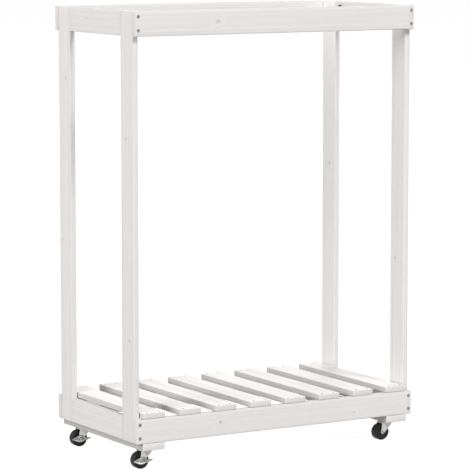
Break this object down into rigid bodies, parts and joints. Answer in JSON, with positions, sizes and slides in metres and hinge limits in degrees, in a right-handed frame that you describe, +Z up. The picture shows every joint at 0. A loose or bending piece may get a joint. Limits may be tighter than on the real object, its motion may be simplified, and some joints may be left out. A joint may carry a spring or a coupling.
{
  "type": "firewood log rack",
  "caption": "Tall open timber rack for firewood, an upright frame of white-painted boards with a slatted floor, rolling on swivel casters, with rocker brakes at one end.",
  "frame": {"origin": "on the floor, under the middle of the rack", "axes": "+X along the long front to the right, seen from the front; +Y to the back; +Z up"},
  "size_m": [0.765, 0.4, 1.066],
  "materials": {
    "painted_pine": "thin white paint brushed on planed pine, with the grain showing faintly",
    "dark_screw_steel": "yellow-passivated steel, dulled to a brown grey",
    "bright_screw_steel": "zinc-plated steel, satin",
    "zinc_plated_sheet": "pressed sheet steel, bright zinc plated",
    "axle_steel": "turned steel, zinc plated",
    "wheel_tread_rubber": "moulded black rubber, satin",
    "wheel_hub_plastic": "moulded black plastic"
  },
  "bodies": {
    "rack": {"front_left_post": "painted_pine", "front_right_post": "painted_pine", "rear_left_post": "painted_pine", "rear_right_post": "painted_pine", "top_front_rail": "painted_pine", "top_rear_rail": "painted_pine", "top_left_end_rail": "painted_pine", "top_right_end_rail": "painted_pine", "bottom_front_rail": "painted_pine", "bottom_rear_rail": "painted_pine", "bottom_left_end_rail": "painted_pine", "bottom_right_end_rail": "painted_pine", "slat_1": "painted_pine", "slat_2": "painted_pine", "slat_3": "painted_pine", "slat_4": "painted_pine", "slat_5": "painted_pine", "slat_6": "painted_pine", "slat_7": "painted_pine", "slat_8": "painted_pine", "left_caster_board": "painted_pine", "right_caster_board": "painted_pine", "front_rail_screws": "dark_screw_steel", "rear_rail_screws": "dark_screw_steel", "pocket_screws": "bright_screw_steel", "slat_screws": "bright_screw_steel", "board_screws": "bright_screw_steel", "caster_screws": "bright_screw_steel", "kingpins": "axle_steel", "swivel_balls": "axle_steel", "front_left_plate": "zinc_plated_sheet", "front_right_plate": "zinc_plated_sheet", "rear_left_plate": "zinc_plated_sheet", "rear_right_plate": "zinc_plated_sheet"},
    "front_left_caster": {"front_left_fork": "zinc_plated_sheet", "front_left_axle_bolt": "axle_steel", "front_left_axle_nut": "axle_steel"},
    "front_left_wheel": {"front_left_hub": "wheel_hub_plastic", "front_left_tyre": "wheel_tread_rubber"},
    "front_left_brake": {"front_left_brake_lever": "zinc_plated_sheet"},
    "front_right_caster": {"front_right_fork": "zinc_plated_sheet", "front_right_axle_bolt": "axle_steel", "front_right_axle_nut": "axle_steel"},
    "front_right_wheel": {"front_right_hub": "wheel_hub_plastic", "front_right_tyre": "wheel_tread_rubber"},
    "rear_left_caster": {"rear_left_fork": "zinc_plated_sheet", "rear_left_axle_bolt": "axle_steel", "rear_left_axle_nut": "axle_steel"},
    "rear_left_wheel": {"rear_left_hub": "wheel_hub_plastic", "rear_left_tyre": "wheel_tread_rubber"},
    "rear_left_brake": {"rear_left_brake_lever": "zinc_plated_sheet"},
    "rear_right_caster": {"rear_right_fork": "zinc_plated_sheet", "rear_right_axle_bolt": "axle_steel", "rear_right_axle_nut": "axle_steel"},
    "rear_right_wheel": {"rear_right_hub": "wheel_hub_plastic", "rear_right_tyre": "wheel_tread_rubber"}
  },
  "joints": [
    {"name": "front_left_swivel", "type": "hinge", "parent": "rack", "child": "front_left_caster", "pos_m": [-0.3375, -0.154, 0.044], "axis": [0, 0, 1], "continuous": true},
    {"name": "front_left_roll", "type": "hinge", "parent": "front_left_caster", "child": "front_left_wheel", "pos_m": [-0.3525, -0.154, 0.02], "axis": [0, 1, 0], "continuous": true},
    {"name": "front_left_brake_rock", "type": "hinge", "parent": "front_left_caster", "child": "front_left_brake", "pos_m": [-0.3525, -0.154, 0.02], "axis": [0, -1, 0], "range_deg": [0, 15]},
    {"name": "front_right_swivel", "type": "hinge", "parent": "rack", "child": "front_right_caster", "pos_m": [0.3375, -0.154, 0.044], "axis": [0, 0, 1], "continuous": true},
    {"name": "front_right_roll", "type": "hinge", "parent": "front_right_caster", "child": "front_right_wheel", "pos_m": [0.3225, -0.154, 0.02], "axis": [0, 1, 0], "continuous": true},
    {"name": "rear_left_swivel", "type": "hinge", "parent": "rack", "child": "rear_left_caster", "pos_m": [-0.3375, 0.154, 0.044], "axis": [0, 0, 1], "continuous": true},
    {"name": "rear_left_roll", "type": "hinge", "parent": "rear_left_caster", "child": "rear_left_wheel", "pos_m": [-0.3525, 0.154, 0.02], "axis": [0, 1, 0], "continuous": true},
    {"name": "rear_left_brake_rock", "type": "hinge", "parent": "rear_left_caster", "child": "rear_left_brake", "pos_m": [-0.3525, 0.154, 0.02], "axis": [0, -1, 0], "range_deg": [0, 15]},
    {"name": "rear_right_swivel", "type": "hinge", "parent": "rack", "child": "rear_right_caster", "pos_m": [0.3375, 0.154, 0.044], "axis": [0, 0, 1], "continuous": true},
    {"name": "rear_right_roll", "type": "hinge", "parent": "rear_right_caster", "child": "rear_right_wheel", "pos_m": [0.3225, 0.154, 0.02], "axis": [0, 1, 0], "continuous": true}
  ]
}
